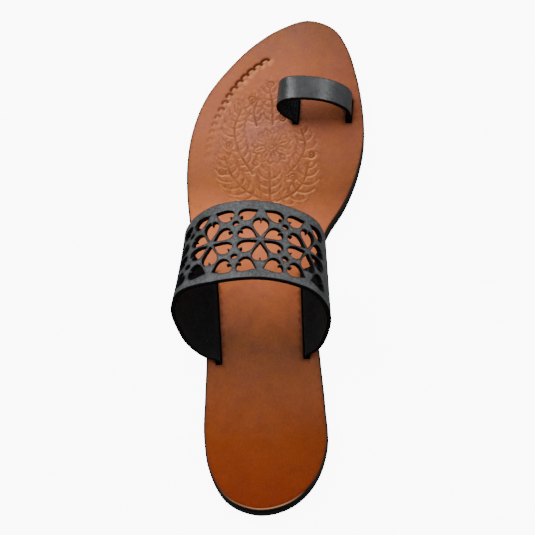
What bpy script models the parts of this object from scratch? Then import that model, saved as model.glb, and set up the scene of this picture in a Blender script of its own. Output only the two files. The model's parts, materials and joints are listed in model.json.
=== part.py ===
"""A flat leather sandal for the left foot: a leather footbed on a rubber outsole,
a wide instep strap cut with rows of flowers, and a narrow loop for the big toe.

Sizes are in millimetres. The shoe is drawn with x across it, inner side positive,
y from the heel end to the toe, and z up from the floor. One empty carries the pieces
and moves the middle of the sole to the world's origin.
"""
import math

import bmesh
import bpy
import numpy as np

MM = 0.001
LENGTH = 252.6
CENTRE = (-5.96, 125.75)

# Heights from the floor, and the gap that touching pieces keep
FOOTBED_TOP = 9.0
SEAM = 5.6
GAP = 0.3
FOOTBED_EDGE = 0.6
OUTSOLE_EDGE = 0.4
OUTSOLE_MARGIN = 0.1
HEEL_MARGIN = 1.2
HEEL_MARGIN_END = 16.0

# The underside rises at the waist, and the whole sole lifts at the toe
WAIST_RISE = 2.4
WAIST_START = 60.0
WAIST_END = 138.0
TOE_SPRING = 3.0
SPRING_START = 200.0
BEND_STEP = 6.5

# Footbed outline: distance from the heel, outer side, inner side
HEEL_TIP = (0.5, 0.0)
TOE_TIP = (5.2, LENGTH)
OUTLINE = (
    (4.0, -13.2, 14.4),
    (15.0, -22.1, 25.2),
    (30.0, -26.3, 29.4),
    (50.0, -28.0, 27.2),
    (70.0, -29.5, 23.8),
    (98.0, -35.6, 19.4),
    (120.0, -41.0, 18.4),
    (136.0, -44.6, 22.8),
    (150.0, -47.4, 29.8),
    (166.0, -49.3, 35.0),
    (186.0, -48.8, 37.6),
    (205.0, -44.2, 35.8),
    (224.6, -32.8, 31.2),
    (238.3, -21.0, 26.1),
    (247.7, -8.2, 19.6),
)
OUTLINE_STEPS = 4

# Straps: slots in the footbed, and the tab that is folded under it
SLOT_WIDTH = 2.6
SLOT_SPARE = 0.35
TAB_THICKNESS = 1.2
TAB_CLEARANCE = 0.35
FOLD_RADIUS = 1.3
FOLD_STEPS = 4
PATH_STEPS = 12

# Instep strap: where its rear and front edges meet the footbed, outer side first
BAND_THICKNESS = 2.1
BAND_LEAN = 0.36
BAND_TAB = 10.0
BAND_REAR_FEET = ((-23.0, 65.7), (17.3, 71.2))
BAND_FRONT_FEET = ((-29.8, 110.1), (12.8, 113.2))
# Middle of the leather, section by section: rear x, height over the footbed, front x, height
BAND_SECTIONS = (
    (-23.4, 1.4, -30.2, 1.4),
    (-28.4, 3.7, -33.6, 4.0),
    (-35.4, 11.2, -38.6, 10.5),
    (-39.9, 23.6, -41.2, 19.5),
    (-41.2, 36.0, -39.9, 28.0),
    (-36.9, 46.3, -35.3, 35.4),
    (-27.6, 51.9, -27.0, 42.3),
    (-14.0, 54.7, -15.3, 45.3),
    (0.5, 53.8, -2.6, 44.6),
    (12.6, 49.0, 9.2, 39.9),
    (22.3, 41.6, 18.2, 33.2),
    (26.9, 31.0, 21.9, 23.3),
    (26.0, 17.0, 21.2, 12.5),
    (21.6, 5.6, 17.2, 4.9),
    (17.7, 1.4, 13.2, 1.4),
)

# Toe loop, in the same form
LOOP_THICKNESS = 1.9
LOOP_LEAN = 0.12
LOOP_TAB = 8.0
LOOP_REAR_FEET = ((2.9, 193.2), (29.4, 195.4))
LOOP_FRONT_FEET = ((2.9, 206.4), (29.4, 208.2))
LOOP_SECTIONS = (
    (2.5, 1.4, 2.5, 1.4),
    (-0.8, 4.4, -0.8, 4.4),
    (-4.4, 8.8, -4.2, 8.8),
    (-5.3, 13.7, -5.2, 13.3),
    (-2.6, 18.0, -2.9, 17.4),
    (3.4, 20.1, 2.8, 19.3),
    (10.4, 19.6, 9.8, 18.8),
    (17.6, 17.7, 17.2, 16.7),
    (23.9, 14.0, 23.9, 13.0),
    (28.3, 9.4, 28.2, 8.4),
    (29.6, 5.0, 29.5, 4.6),
    (29.5, 1.4, 29.5, 1.4),
)

# Flowers of the instep strap, laid out on the flat leather from its outer foot and its middle
FLOWER_PITCH = 21.85
FLOWER_COUNT = 4
MIDDLE_FLOWER = 2
MIDDLE_FLOWER_AT = 85.0
MIDDLE_ROW_AT = -0.45
# The strap is longer along its rear edge, so the rows are drawn in there, and let out in front
PATTERN_TAPER = 0.0035
TAPER_FROM = 101.5
PETAL_START = 1.6
PETAL_LENGTH = 9.05
PETAL_HALF_WIDTH = 3.4
# The two petals that point straight across the strap are longer than the slanted ones
LONG_PETAL = 1.2
PETAL_SLANT = 31.5
# Half flowers along the rear and the front edge: place across the strap, slant of the petals,
# and their length and width beside those of the whole flowers
HALF_FLOWERS = ((-17.9, 25.0, 0.95, 1.22), (17.5, -28.0, 1.0, 1.0))
# One side of a petal: share of its length, share of its half width
PETAL_SIDE = (
    (0.18, 0.34),
    (0.38, 0.72),
    (0.57, 0.96),
    (0.75, 1.0),
    (0.89, 0.84),
    (0.97, 0.55),
    (1.0, 0.27),
)
PETAL_CUSP = 0.86
DOT_RADIUS = 1.4
DOT_SIDES = 8
DOT_ACROSS = 9.5

TAN_LEATHER = ((0.52, 0.235, 0.105, 1.0), 0.5)
BLACK_RUBBER = ((0.045, 0.047, 0.05, 1.0), 0.75)
BLACK_LEATHER = ((0.035, 0.037, 0.04, 1.0), 0.42)


def material(name, look):
    colour, roughness = look
    made = bpy.data.materials.new(name)
    made.use_nodes = True
    shader = made.node_tree.nodes["Principled BSDF"]
    shader.inputs["Base Color"].default_value = colour
    shader.inputs["Roughness"].default_value = roughness
    shader.inputs["Metallic"].default_value = 0.0
    made.diffuse_color = colour
    return made


def smooth_path(points, steps, closed=False):
    """Points along a cubic curve that passes through the given ones."""
    points = np.array(points, float)
    if closed:
        padded = np.vstack((points[-1], points, points[:2]))
    else:
        padded = np.vstack((2 * points[0] - points[1], points, 2 * points[-1] - points[-2]))
    spans = np.linalg.norm(np.diff(padded, axis=0), axis=1)
    slopes = np.diff(padded, axis=0) / spans[:, None]
    before, after = spans[:-1, None], spans[1:, None]
    tangents = (slopes[:-1] * after + slopes[1:] * before) / (before + after)
    path = []
    for index in range(len(padded) - 3):
        start, end = padded[index + 1], padded[index + 2]
        span = spans[index + 1]
        for step in range(steps):
            share = step / steps
            rise = share * share * (3 - 2 * share)
            leave = share * (1 - share) ** 2 * span
            arrive = share * share * (share - 1) * span
            path.append(start + (end - start) * rise + tangents[index] * leave + tangents[index + 1] * arrive)
    if not closed:
        path.append(points[-1])
    return np.array(path)


def evaluated_mesh(piece):
    """The piece's mesh with its modifiers or its curve worked out, caps joined on."""
    graph = bpy.context.evaluated_depsgraph_get()
    mesh = bpy.data.meshes.new_from_object(piece.evaluated_get(graph), depsgraph=graph)
    shape = bmesh.new()
    shape.from_mesh(mesh)
    bmesh.ops.remove_doubles(shape, verts=shape.verts, dist=1e-5)
    shape.to_mesh(mesh)
    shape.free()
    return mesh


def outline_mesh(name, outlines, low, high, edge=0.0):
    """A solid between two heights with the given flat outlines and chamfered edges."""
    curve = bpy.data.curves.new(name, "CURVE")
    curve.dimensions = "2D"
    curve.fill_mode = "BOTH"
    curve.extrude = (high - low) / 2 - edge
    curve.bevel_depth = edge
    curve.bevel_resolution = 0
    curve.offset = -edge
    for outline in outlines:
        spline = curve.splines.new("POLY")
        spline.points.add(len(outline) - 1)
        spline.use_cyclic_u = True
        for point, (x, y) in zip(spline.points, outline):
            point.co = (x, y, 0.0, 1.0)
    drawn = bpy.data.objects.new(name, curve)
    bpy.context.scene.collection.objects.link(drawn)
    drawn.location.z = (low + high) / 2
    mesh = evaluated_mesh(drawn)
    mesh.transform(drawn.matrix_basis)
    bpy.data.objects.remove(drawn)
    bpy.data.curves.remove(curve)
    return mesh


def sole_outline(margin, heel_margin):
    """The sole's closed outline, grown by one margin and by another round the heel."""
    outer = [(side, along) for along, side, _ in OUTLINE]
    inner = [(side, along) for along, _, side in reversed(OUTLINE)]
    points = smooth_path([HEEL_TIP] + outer + [TOE_TIP] + inner, OUTLINE_STEPS, closed=True)
    tangents = np.roll(points, -1, axis=0) - np.roll(points, 1, axis=0)
    normals = np.column_stack((-tangents[:, 1], tangents[:, 0]))
    normals /= np.linalg.norm(normals, axis=1)[:, None]
    toward_heel = np.clip(1 - points[:, 1] / HEEL_MARGIN_END, 0, 1)
    grown = margin + (heel_margin - margin) * toward_heel
    return points + normals * grown[:, None]


def toe_lift(along):
    share = max(0.0, along - SPRING_START) / (LENGTH - SPRING_START)
    return TOE_SPRING * share ** 2


def waist_lift(along):
    share = (along - WAIST_START) / (WAIST_END - WAIST_START)
    if not 0.0 < share < 1.0:
        return 0.0
    return WAIST_RISE * (1 - math.cos(2 * math.pi * share)) / 2


def sole_plate(name, outline, low, high, edge, rise_under):
    """A plate of the sole, sliced across so that it can bend, then bent."""
    mesh = outline_mesh(name, [outline], low, high, edge)
    shape = bmesh.new()
    shape.from_mesh(mesh)
    for up in (-1, 1):
        flat = [face for face in shape.faces if face.normal.z * up > 0.99]
        bmesh.ops.dissolve_faces(shape, faces=flat)
    bends = [np.arange(SPRING_START, LENGTH, BEND_STEP)]
    if rise_under:
        bends.append(np.arange(WAIST_START, WAIST_END + 1, BEND_STEP))
    for along in np.concatenate(bends):
        everything = shape.verts[:] + shape.edges[:] + shape.faces[:]
        bmesh.ops.bisect_plane(
            shape, geom=everything, plane_co=(0, along, 0), plane_no=(0, 1, 0), dist=0.05)
    bmesh.ops.triangulate(shape, faces=shape.faces[:])
    for vertex in shape.verts:
        along = vertex.co.y
        if rise_under and vertex.co.z < (low + high) / 2:
            vertex.co.z += waist_lift(along)
        vertex.co.z += toe_lift(along)
        vertex.co *= MM
    shape.to_mesh(mesh)
    shape.free()
    return mesh


def petal(centre, degrees, longer=1.0, wider=1.0):
    """Outline of one heart-ended petal that points away from a flower's centre."""
    angle = math.radians(degrees)
    length, half_width = PETAL_LENGTH * longer, PETAL_HALF_WIDTH * wider
    side = [(PETAL_START + length * a, half_width * w) for a, w in PETAL_SIDE]
    cusp = (PETAL_START + length * PETAL_CUSP, 0.0)
    mirrored = [(along, -across) for along, across in reversed(side)]
    turned = []
    for along, across in [(PETAL_START, 0.0)] + side + [cusp] + mirrored:
        x = centre[0] + along * math.cos(angle) - across * math.sin(angle)
        y = centre[1] + along * math.sin(angle) + across * math.cos(angle)
        turned.append((x, y))
    return turned


def dot(centre):
    angles = [2 * math.pi * side / DOT_SIDES for side in range(DOT_SIDES)]
    return [(centre[0] + DOT_RADIUS * math.cos(a), centre[1] + DOT_RADIUS * math.sin(a)) for a in angles]


def flower_cuts(foot):
    """Every opening of the instep strap, on the flat leather, whose outer foot is given."""
    cuts = []
    for index in range(FLOWER_COUNT):
        along = MIDDLE_FLOWER_AT + FLOWER_PITCH * (index - MIDDLE_FLOWER)
        for facing in (0, 180):
            cuts.append(petal((along, MIDDLE_ROW_AT), facing + PETAL_SLANT))
            cuts.append(petal((along, MIDDLE_ROW_AT), facing + 90, LONG_PETAL))
            cuts.append(petal((along, MIDDLE_ROW_AT), facing - PETAL_SLANT))
        for row, slant, longer, wider in HALF_FLOWERS:
            cuts.append(petal((along, row), slant, longer, wider))
            cuts.append(petal((along, row), 180 - slant, longer, wider))
        if index:
            for side in (-1, 1):
                cuts.append(dot((along - FLOWER_PITCH / 2, MIDDLE_ROW_AT + side * DOT_ACROSS)))
    return [[(foot + x + PATTERN_TAPER * y * (x - TAPER_FROM), y) for x, y in cut] for cut in cuts]


class Strap:
    """A flat strip of leather bent over the footbed, with a tab folded under at each end."""

    def __init__(self, rear_feet, front_feet, sections, lean, tab, thickness):
        self.rear_feet = np.array(rear_feet)
        self.front_feet = np.array(front_feet)
        self.tab = tab
        self.thickness = thickness
        self.drop = FOOTBED_TOP - self.tab_height() - FOLD_RADIUS
        self.leg = self.drop + FOLD_RADIUS * math.pi / 2 + tab
        rear = [(row[0], row[1]) for row in sections]
        front = [(row[2], row[3]) for row in sections]
        self.rear = self.edge_path(rear, self.rear_feet, lean)
        self.front = self.edge_path(front, self.front_feet, lean)
        self.arch = (self.path_length(self.rear) + self.path_length(self.front)) / 2
        self.length = self.arch + 2 * self.leg
        self.width = np.linalg.norm(self.front_feet[0] - self.rear_feet[0])

    @staticmethod
    def tab_height():
        return SEAM + GAP / 2 - TAB_CLEARANCE - TAB_THICKNESS / 2

    @staticmethod
    def edge_path(rows, feet, lean):
        """One edge of the strap in space, from its outer foot to its inner one."""
        flat = [(feet[0][0], 0.0)] + rows + [(feet[1][0], 0.0)]
        curve = smooth_path(flat, PATH_STEPS)
        share = (curve[:, 0] - feet[0][0]) / (feet[1][0] - feet[0][0])
        along = feet[0][1] + (feet[1][1] - feet[0][1]) * np.clip(share, 0, 1) + lean * curve[:, 1]
        return np.column_stack((curve[:, 0], along, FOOTBED_TOP + curve[:, 1]))

    @staticmethod
    def path_length(path):
        return np.linalg.norm(np.diff(path, axis=0), axis=1).sum()

    @staticmethod
    def on_path(path, share):
        lengths = np.concatenate(([0], np.cumsum(np.linalg.norm(np.diff(path, axis=0), axis=1))))
        return np.array([np.interp(share * lengths[-1], lengths, path[:, axis]) for axis in range(3)])

    def inward(self, end):
        """Direction in plan from the foot at this end towards the middle of the shoe."""
        line = self.front_feet[end] - self.rear_feet[end]
        across = np.array((line[1], -line[0])) / np.linalg.norm(line)
        return across if end == 0 else -across

    def leg_point(self, end, below, share):
        """Point of a foot, by its distance below the footbed's top along the leather."""
        if below <= self.drop:
            inward, height = 0.0, FOOTBED_TOP - below
        elif below <= self.drop + FOLD_RADIUS * math.pi / 2:
            turn = (below - self.drop) / FOLD_RADIUS
            inward = FOLD_RADIUS * (1 - math.cos(turn))
            height = FOOTBED_TOP - self.drop - FOLD_RADIUS * math.sin(turn)
        else:
            inward = FOLD_RADIUS + below - self.drop - FOLD_RADIUS * math.pi / 2
            height = self.tab_height()
        foot = self.rear_feet[end] + (self.front_feet[end] - self.rear_feet[end]) * share
        return np.array((*(foot + self.inward(end) * inward), height))

    def middle(self, along, share):
        """Middle of the leather; along is measured from the end of the outer tab."""
        if along < self.leg:
            return self.leg_point(0, self.leg - along, share)
        if along > self.leg + self.arch:
            return self.leg_point(1, along - self.leg - self.arch, share)
        on_arch = (along - self.leg) / self.arch
        rear = self.on_path(self.rear, on_arch)
        return rear + (self.on_path(self.front, on_arch) - rear) * share

    def point(self, along, share, level):
        """Point of the bent strap; level runs from -0.5 inside to 0.5 outside."""
        step = 0.05
        run = self.middle(along + step, share) - self.middle(along - step, share)
        across = self.middle(along, 1.0) - self.middle(along, 0.0)
        normal = np.cross(run, across)
        normal /= np.linalg.norm(normal)
        from_foot = min(along, self.length - along) - self.leg + self.drop
        skive = np.clip(from_foot / (self.drop + 2.0), 0, 1)
        thickness = TAB_THICKNESS + (self.thickness - TAB_THICKNESS) * skive
        return self.middle(along, share) + normal * level * thickness

    def stations(self, foot_run, foot_steps, arch_step):
        """Where the strip is creased to bend, closer together at the feet."""
        fold = self.tab + FOLD_RADIUS * math.pi / 2 * np.arange(FOLD_STEPS + 1) / FOLD_STEPS
        foot = self.leg + foot_run * np.arange(foot_steps + 1) / foot_steps
        half = np.concatenate(([0.0, self.tab / 2], fold, foot))
        left = self.length - 2 * half[-1]
        count = round(left / arch_step)
        arch = half[-1] + left * np.arange(1, count) / count
        return np.concatenate((half, arch, self.length - half[::-1]))

    def mesh(self, name, stations, rows, cuts=()):
        """The strip with its openings cut while flat, then bent to shape."""
        shape = bmesh.new()
        columns = len(stations) - 1
        bmesh.ops.create_grid(shape, x_segments=columns, y_segments=rows, size=0.5)
        for vertex in shape.verts:
            vertex.co.x = stations[round((vertex.co.x + 0.5) * columns)]
            vertex.co.y *= self.width
        flat_mesh = bpy.data.meshes.new(name)
        shape.to_mesh(flat_mesh)
        shape.free()
        flat = bpy.data.objects.new(name + "_flat", flat_mesh)
        bpy.context.scene.collection.objects.link(flat)
        shell = flat.modifiers.new("Leather", "SOLIDIFY")
        shell.thickness = 1.0
        shell.offset = 0.0
        temporary = [flat]
        if cuts:
            cutter = bpy.data.objects.new(name + "_cuts", outline_mesh(name + "_cuts", cuts, -1.0, 1.0))
            bpy.context.scene.collection.objects.link(cutter)
            cut = flat.modifiers.new("Openings", "BOOLEAN")
            cut.operation = "DIFFERENCE"
            cut.object = cutter
            temporary.append(cutter)
        mesh = evaluated_mesh(flat)
        for piece in temporary:
            bpy.data.objects.remove(piece)
        shape = bmesh.new()
        shape.from_mesh(mesh)
        bmesh.ops.triangulate(shape, faces=shape.faces[:])
        for vertex in shape.verts:
            along, across, level = vertex.co
            vertex.co = self.point(along, across / self.width + 0.5, level) * MM
        bmesh.ops.recalc_face_normals(shape, faces=shape.faces[:])
        shape.to_mesh(mesh)
        shape.free()
        return mesh

    def foot_box(self, name, end, outward, inward, low, high):
        """A cutter along the foot at one end: a slot, or a pocket for the tab."""
        line = self.front_feet[end] - self.rear_feet[end]
        middle = (self.front_feet[end] + self.rear_feet[end]) / 2
        middle = middle + self.inward(end) * (inward - outward) / 2
        size = (inward + outward, np.linalg.norm(line) + 2 * SLOT_SPARE, high - low)
        shape = bmesh.new()
        bmesh.ops.create_cube(shape, size=1.0)
        bmesh.ops.scale(shape, vec=[side * MM for side in size], verts=shape.verts)
        mesh = bpy.data.meshes.new(name)
        shape.to_mesh(mesh)
        shape.free()
        box = bpy.data.objects.new(name, mesh)
        box.location = (middle[0] * MM, middle[1] * MM, (low + high) / 2 * MM)
        box.rotation_euler.z = math.atan2(-line[0], line[1])
        return box


def add_piece(name, mesh, look, collection, carrier):
    mesh.name = name
    mesh.materials.clear()
    mesh.materials.append(look)
    mesh.shade_smooth()
    mesh.set_sharp_from_angle(angle=math.radians(35))
    piece = bpy.data.objects.new(name, mesh)
    piece.parent = carrier
    collection.objects.link(piece)
    return piece


def cut_feet(piece, straps, collection, carrier, outward, inward_past, low, high):
    """Cuts one box for each foot of each strap out of a piece of the sole."""
    for strap_name, strap in straps.items():
        for end, side in enumerate(("outer", "inner")):
            inward = inward_past + (strap.tab + FOLD_RADIUS if inward_past < SLOT_WIDTH / 2 else 0.0)
            name = f"{piece.name}_{strap_name}_{side}_cut"
            box = strap.foot_box(name, end, outward, inward, low, high)
            box.parent = carrier
            box.hide_render = True
            box.display_type = "WIRE"
            collection.objects.link(box)
            cut = piece.modifiers.new(name, "BOOLEAN")
            cut.operation = "DIFFERENCE"
            cut.object = box


def main():
    for old in list(bpy.data.objects):
        bpy.data.objects.remove(old)
    sandal = bpy.data.collections.new("leather_sandal")
    cutters = bpy.data.collections.new("leather_sandal_cutters")
    bpy.context.scene.collection.children.link(sandal)
    bpy.context.scene.collection.children.link(cutters)
    carrier = bpy.data.objects.new("sandal_origin", None)
    carrier.location = (-CENTRE[0] * MM, -CENTRE[1] * MM, 0.0)
    sandal.objects.link(carrier)

    band = Strap(BAND_REAR_FEET, BAND_FRONT_FEET, BAND_SECTIONS, BAND_LEAN, BAND_TAB, BAND_THICKNESS)
    loop = Strap(LOOP_REAR_FEET, LOOP_FRONT_FEET, LOOP_SECTIONS, LOOP_LEAN, LOOP_TAB, LOOP_THICKNESS)
    straps = {"instep": band, "toe": loop}

    footbed_bottom = SEAM + GAP / 2
    outsole_top = SEAM - GAP / 2
    tan = material("tan_leather", TAN_LEATHER)
    black = material("black_leather", BLACK_LEATHER)
    rubber = material("black_rubber", BLACK_RUBBER)

    outline = sole_outline(0.0, 0.0)
    mesh = sole_plate("footbed", outline, footbed_bottom, FOOTBED_TOP, FOOTBED_EDGE, False)
    footbed = add_piece("footbed", mesh, tan, sandal, carrier)
    half_slot = SLOT_WIDTH / 2
    cut_feet(footbed, straps, cutters, carrier, half_slot, half_slot, SEAM - 1, FOOTBED_TOP + 1)

    outline = sole_outline(OUTSOLE_MARGIN, HEEL_MARGIN)
    mesh = sole_plate("outsole", outline, 0.0, outsole_top, OUTSOLE_EDGE, True)
    outsole = add_piece("outsole", mesh, rubber, sandal, carrier)
    pocket_floor = Strap.tab_height() - TAB_THICKNESS / 2 - TAB_CLEARANCE
    cut_feet(outsole, straps, cutters, carrier, half_slot, 2 * TAB_CLEARANCE, pocket_floor, SEAM + 1)

    mesh = band.mesh("instep_band", band.stations(9.0, 5, 4.5), 4, flower_cuts(band.leg))
    add_piece("instep_band", mesh, black, sandal, carrier)

    mesh = loop.mesh("toe_loop", loop.stations(6.0, 4, 2.6), 2)
    add_piece("toe_loop", mesh, black, sandal, carrier)


main()
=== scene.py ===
"""A flat leather sandal for the left foot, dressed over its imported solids.

The rubber outsole, the leather footbed, the cut instep band and the toe loop are each
worked out as whole arrays. They are drawn in millimetres, with x across the shoe and its
inner side positive, y from the heel end to the toe, and z up from the floor, and are set
into the frame in metres.
"""

import json
import math

import bpy
import numpy as np
from bpy.props import FloatProperty, FloatVectorProperty, IntProperty, PointerProperty
from mathutils import Matrix, Vector
from mathutils.geometry import delaunay_2d_cdt

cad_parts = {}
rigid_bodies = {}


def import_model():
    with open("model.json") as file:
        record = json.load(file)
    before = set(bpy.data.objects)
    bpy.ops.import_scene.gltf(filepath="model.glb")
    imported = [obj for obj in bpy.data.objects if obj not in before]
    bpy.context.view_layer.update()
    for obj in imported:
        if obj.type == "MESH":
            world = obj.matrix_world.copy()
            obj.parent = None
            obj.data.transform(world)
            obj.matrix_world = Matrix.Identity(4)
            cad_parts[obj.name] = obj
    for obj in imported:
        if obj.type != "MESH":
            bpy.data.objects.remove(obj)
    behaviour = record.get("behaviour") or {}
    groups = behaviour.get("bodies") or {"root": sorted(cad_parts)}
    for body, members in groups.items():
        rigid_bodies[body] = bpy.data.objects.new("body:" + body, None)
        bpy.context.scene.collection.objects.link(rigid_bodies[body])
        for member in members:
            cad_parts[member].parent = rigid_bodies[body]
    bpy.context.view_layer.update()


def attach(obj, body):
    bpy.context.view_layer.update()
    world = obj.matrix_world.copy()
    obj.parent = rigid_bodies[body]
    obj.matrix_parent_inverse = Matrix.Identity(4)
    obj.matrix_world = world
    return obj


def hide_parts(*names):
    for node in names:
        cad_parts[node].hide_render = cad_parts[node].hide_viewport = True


bl_info = {
    "name": "Leather sandal",
    "version": (1, 0, 0),
    "blender": (4, 5, 0),
    "location": "View3D > Sidebar > Sandal",
    "description": "Builds a flat leather sandal with a cut instep band and a toe loop",
    "category": "Add Mesh",
}

for old in list(bpy.data.objects):
    bpy.data.objects.remove(old)
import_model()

MM = 0.001
WELD = 2e-6
BLOCK = 2000

# The drawing's own sizes, shared with the solids
LENGTH = 252.6
CENTRE = (-5.96, 125.75)
FOOTBED_TOP = 9.0
FOOTBED_BOTTOM = 5.75
OUTSOLE_TOP = 5.45
OUTSOLE_MARGIN = 0.1
HEEL_MARGIN = 1.2
HEEL_MARGIN_END = 16.0
WAIST_RISE = 2.4
WAIST_START = 60.0
WAIST_END = 138.0
TOE_SPRING = 3.0
SPRING_START = 200.0

# Footbed outline: distance from the heel, outer side, inner side
HEEL_TIP = (0.5, 0.0)
TOE_TIP = (5.2, LENGTH)
OUTLINE = (
    (4.0, -13.2, 14.4),
    (15.0, -22.1, 25.2),
    (30.0, -26.3, 29.4),
    (50.0, -28.0, 27.2),
    (70.0, -29.5, 23.8),
    (98.0, -35.6, 19.4),
    (120.0, -41.0, 18.4),
    (136.0, -44.6, 22.8),
    (150.0, -47.4, 29.8),
    (166.0, -49.3, 35.0),
    (186.0, -48.8, 37.6),
    (205.0, -44.2, 35.8),
    (224.6, -32.8, 31.2),
    (238.3, -21.0, 26.1),
    (247.7, -8.2, 19.6),
)

# Straps: the slot each foot passes through, and the tab folded under the footbed
SLOT_WIDTH = 2.6
SLOT_SPARE = 0.35
TAB_THICKNESS = 1.2
TAB_HEIGHT = 4.8
TAB_CLEARANCE = 0.35
FOLD_RADIUS = 1.3

BAND_THICKNESS = 2.1
BAND_LEAN = 0.36
BAND_TAB = 10.0
BAND_REAR_FEET = ((-23.0, 65.7), (17.3, 71.2))
BAND_FRONT_FEET = ((-29.8, 110.1), (12.8, 113.2))
# Middle of the leather, section by section: rear x, height over the footbed, front x, height
BAND_SECTIONS = (
    (-23.4, 1.4, -30.2, 1.4),
    (-28.4, 3.7, -33.6, 4.0),
    (-35.4, 11.2, -38.6, 10.5),
    (-39.9, 23.6, -41.2, 19.5),
    (-41.2, 36.0, -39.9, 28.0),
    (-36.9, 46.3, -35.3, 35.4),
    (-27.6, 51.9, -27.0, 42.3),
    (-14.0, 54.7, -15.3, 45.3),
    (0.5, 53.8, -2.6, 44.6),
    (12.6, 49.0, 9.2, 39.9),
    (22.3, 41.6, 18.2, 33.2),
    (26.9, 31.0, 21.9, 23.3),
    (26.0, 17.0, 21.2, 12.5),
    (21.6, 5.6, 17.2, 4.9),
    (17.7, 1.4, 13.2, 1.4),
)

LOOP_THICKNESS = 1.9
LOOP_LEAN = 0.12
LOOP_TAB = 8.0
LOOP_REAR_FEET = ((2.9, 193.2), (29.4, 195.4))
LOOP_FRONT_FEET = ((2.9, 206.4), (29.4, 208.2))
LOOP_SECTIONS = (
    (2.5, 1.4, 2.5, 1.4),
    (-0.8, 4.4, -0.8, 4.4),
    (-4.4, 8.8, -4.2, 8.8),
    (-5.3, 13.7, -5.2, 13.3),
    (-2.6, 18.0, -2.9, 17.4),
    (3.4, 20.1, 2.8, 19.3),
    (10.4, 19.6, 9.8, 18.8),
    (17.6, 17.7, 17.2, 16.7),
    (23.9, 14.0, 23.9, 13.0),
    (28.3, 9.4, 28.2, 8.4),
    (29.6, 5.0, 29.5, 4.6),
    (29.5, 1.4, 29.5, 1.4),
)

# Flowers of the instep band, on the flat leather from its outer foot and its middle
FLOWER_COUNT = 4
MIDDLE_FLOWER = 2
MIDDLE_FLOWER_AT = 85.0
MIDDLE_ROW_AT = -0.45
PATTERN_TAPER = 0.0035
TAPER_FROM = 101.5
LONG_PETAL = 1.2
PETAL_SLANT = 31.5
# Half flowers along each edge: place across the band, slant, and how much longer and wider
HALF_FLOWERS = ((-17.9, 25.0, 0.95, 1.22), (17.5, -28.0, 1.0, 1.0))
DOT_ACROSS = 9.5
# One side of a petal: share of its length, share of its half width
PETAL_SIDE = (
    (0.0, 0.0),
    (0.18, 0.34),
    (0.38, 0.72),
    (0.57, 0.96),
    (0.75, 1.0),
    (0.89, 0.84),
    (0.97, 0.55),
    (1.0, 0.27),
    (0.965, 0.10),
    (0.88, 0.095),
    (0.82, 0.0),
)

# The row of small punched arches, from the toe towards the waist
STAMP_ROW = (
    (-14.4, 229.8), (-22.6, 222.6), (-30.0, 212.8),
    (-36.0, 199.5), (-39.6, 186.0), (-40.3, 170.5),
)
# Share of the row, and the arch there: its facing in degrees, its half length, its bow, and
# how dark and deep it is
STAMP_FACING = ((0, 104), (0.3, 112), (0.55, 140), (1, 140))
STAMP_REACH = ((0, 2.4), (0.3, 2.2), (0.5, 1.4), (1, 1.2))
STAMP_BOW = ((0, 1.6), (0.3, 1.6), (0.5, 1.5), (1, 1.3))
STAMP_FADE = ((0, 1.0), (0.3, 0.95), (0.45, 0.78), (0.6, 0.55), (0.7, 0.34), (0.85, 0.22), (1, 0.1))
STAMP_HALF_TURN = 72

# Fern fronds of the flower spray: points of the rib, width, pairs of barbs
FRONDS = (
    (((-6.0, 147.0), (-7.0, 157.0), (-8.0, 168.0)), 12.0, 5),
    (((-8.5, 192.0), (-9.5, 203.0), (-11.5, 212.0)), 11.0, 5),
    (((-9.0, 150.0), (-19.0, 155.0), (-26.0, 162.0), (-31.0, 173.0)), 12.0, 8),
    (((-16.0, 164.0), (-24.0, 176.0), (-27.5, 189.0), (-24.0, 203.0)), 12.0, 10),
    (((-3.0, 150.0), (4.0, 154.0), (9.0, 161.0), (11.0, 171.0)), 11.0, 6),
    (((1.0, 165.0), (6.5, 173.0), (8.5, 182.0), (6.0, 190.0)), 10.0, 6),
    (((-16.5, 191.0), (-18.5, 199.0), (-16.5, 208.0)), 9.0, 4),
)
ROSETTE_AT = (-8.0, 180.0)
ROSETTE_CLEARANCE = 10.8
# Rings of the rosette's leaves: degrees of the first, distance of its base, length, width,
# and how many of its three lines are pressed
ROSETTE_RINGS = ((22.5, 2.8, 7.2, 4.8, 3), (45.0, 6.4, 3.6, 2.6, 2))
# Curls of the spray: x, y, radius, start in degrees, turns
CURLS = (
    (-20.5, 206.0, 2.4, -80, 1.3),
    (-11.0, 215.0, 2.2, -100, -1.3),
    (-29.5, 179.5, 2.2, -60, 1.2),
    (4.0, 163.0, 2.4, 200, -1.3),
    (12.0, 176.5, 2.0, 240, 1.2),
    (-15.0, 170.0, 2.2, 20, 1.2),
    (-31.5, 164.5, 2.0, 0, -1.2),
    (-3.5, 196.0, 2.0, 120, 1.2),
)
LINE_SPACING = 0.3

# Side of the outsole, from its top down: inset, level
OUTSOLE_SIDE = ((0.25, 5.45), (0.06, 5.38), (0.0, 5.2), (0.0, 3.6), (0.08, 2.6), (0.0, 1.2))
OUTSOLE_LOWER_RADIUS = 0.7
TREAD_WAVE = 1.6
TREAD_WAVE_LENGTH = 11.0
TREAD_BORDER = 4.0

# Radii of the lower edges of the footbed, the straps and the band's openings
FOOTBED_LOWER_RADIUS = 0.25
STRAP_LOWER_RADIUS = 0.15
OPENING_LOWER_RADIUS = 0.08

# Tints that multiply the tan leather's colour: painted shade on the inner side, pinker and redder clouds, and
# a painted sheen in the middle of the forefoot, and where that sheen lies, in metres
# Painted shade on the inner side of the footbed
INNER_SHADE = (0.66, 0.62, 0.60, 1.0)
PINKER = (1.0, 0.98, 1.08, 1.0)
REDDER = (1.03, 1.0, 0.86, 1.0)
SHEEN_TINT = (1.04, 1.16, 1.42, 1.0)
SHEEN_AT = (-0.006, 0.063, 0.009)

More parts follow.
